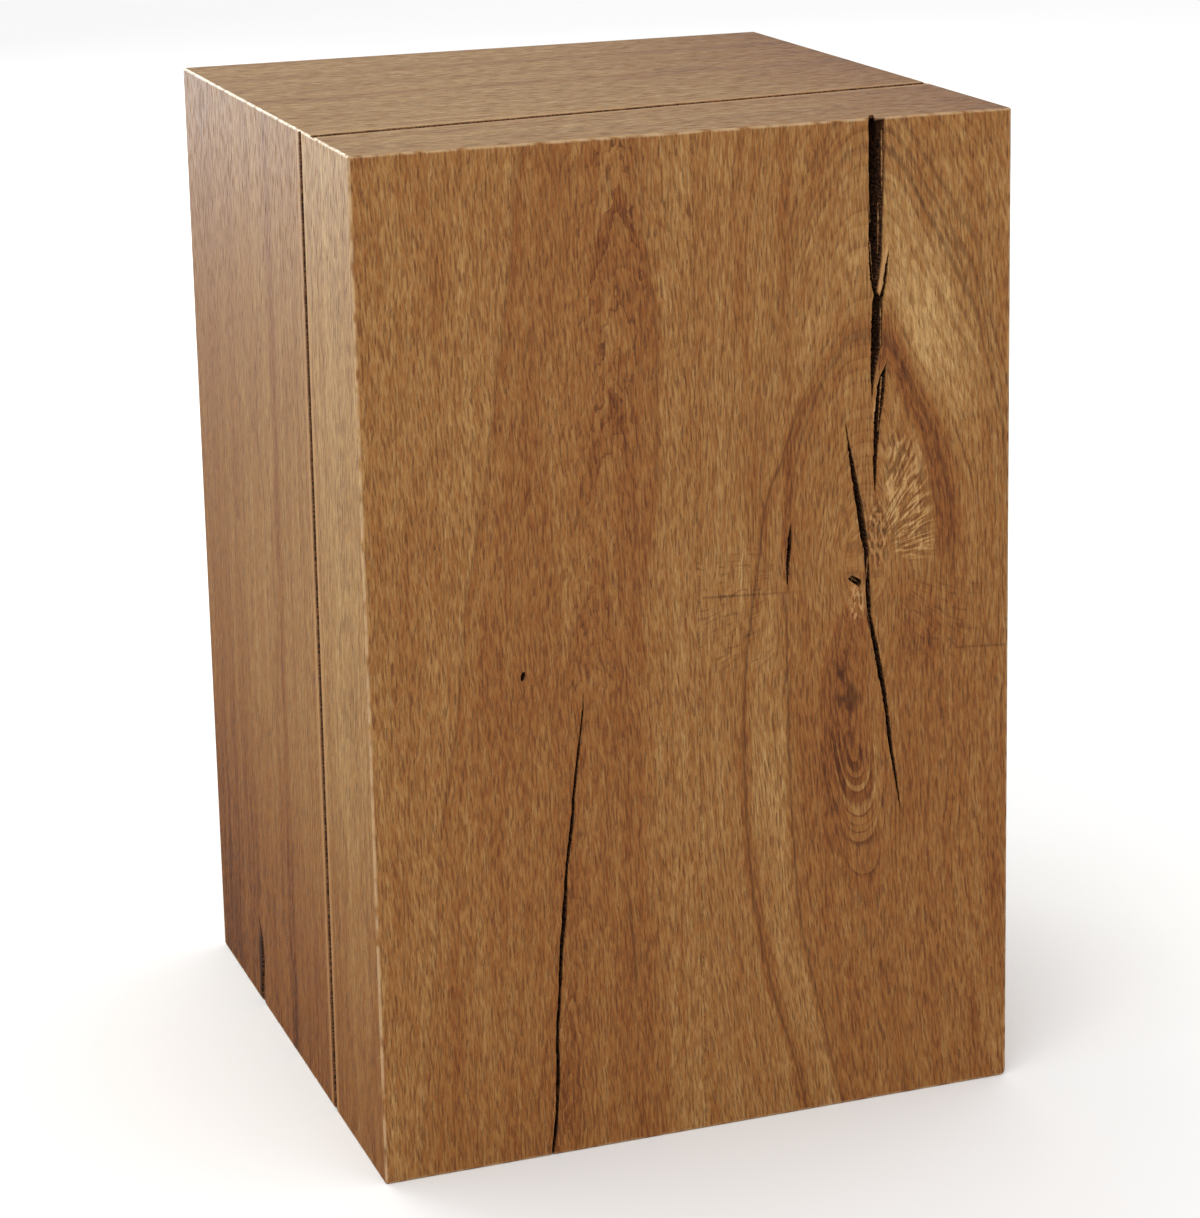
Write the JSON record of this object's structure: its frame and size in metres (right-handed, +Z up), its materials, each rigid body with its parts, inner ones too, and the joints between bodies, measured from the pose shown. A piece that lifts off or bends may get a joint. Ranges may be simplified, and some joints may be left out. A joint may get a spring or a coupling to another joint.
{
  "type": "oak block side table",
  "caption": "Tall hollow block of mitred oak boards with upright grain, open glue lines, a knot and deep drying checks; stands as a small table, stool or plinth.",
  "frame": {"origin": "middle of the foot, on the surface that the block stands on", "axes": "+Z up, -Y out of the front with the knot, +X to the right as seen from the front"},
  "size_m": [0.297, 0.297, 0.45],
  "materials": {
    "oiled_oak": "oiled oak with dark pores, growth rings and a soft sheen",
    "bare_oak": "plain planed oak",
    "softwood": "sawn softwood",
    "pressed_beech": "pressed beech"
  },
  "bodies": {
    "root": {"front_left_board": "oiled_oak", "front_right_board": "oiled_oak", "left_front_board": "oiled_oak", "left_rear_board": "oiled_oak", "right_front_board": "oiled_oak", "right_rear_board": "oiled_oak", "back_left_board": "oiled_oak", "back_right_board": "oiled_oak", "top_front_board": "oiled_oak", "top_rear_board": "oiled_oak", "floor_front_board": "bare_oak", "floor_rear_board": "bare_oak", "front_cleat": "softwood", "back_cleat": "softwood", "left_cleat": "softwood", "right_cleat": "softwood", "front_left_corner_biscuits": "pressed_beech", "front_right_corner_biscuits": "pressed_beech", "back_left_corner_biscuits": "pressed_beech", "back_right_corner_biscuits": "pressed_beech", "top_front_biscuits": "pressed_beech", "top_back_biscuits": "pressed_beech", "top_left_biscuits": "pressed_beech", "top_right_biscuits": "pressed_beech"}
  },
  "joints": []
}
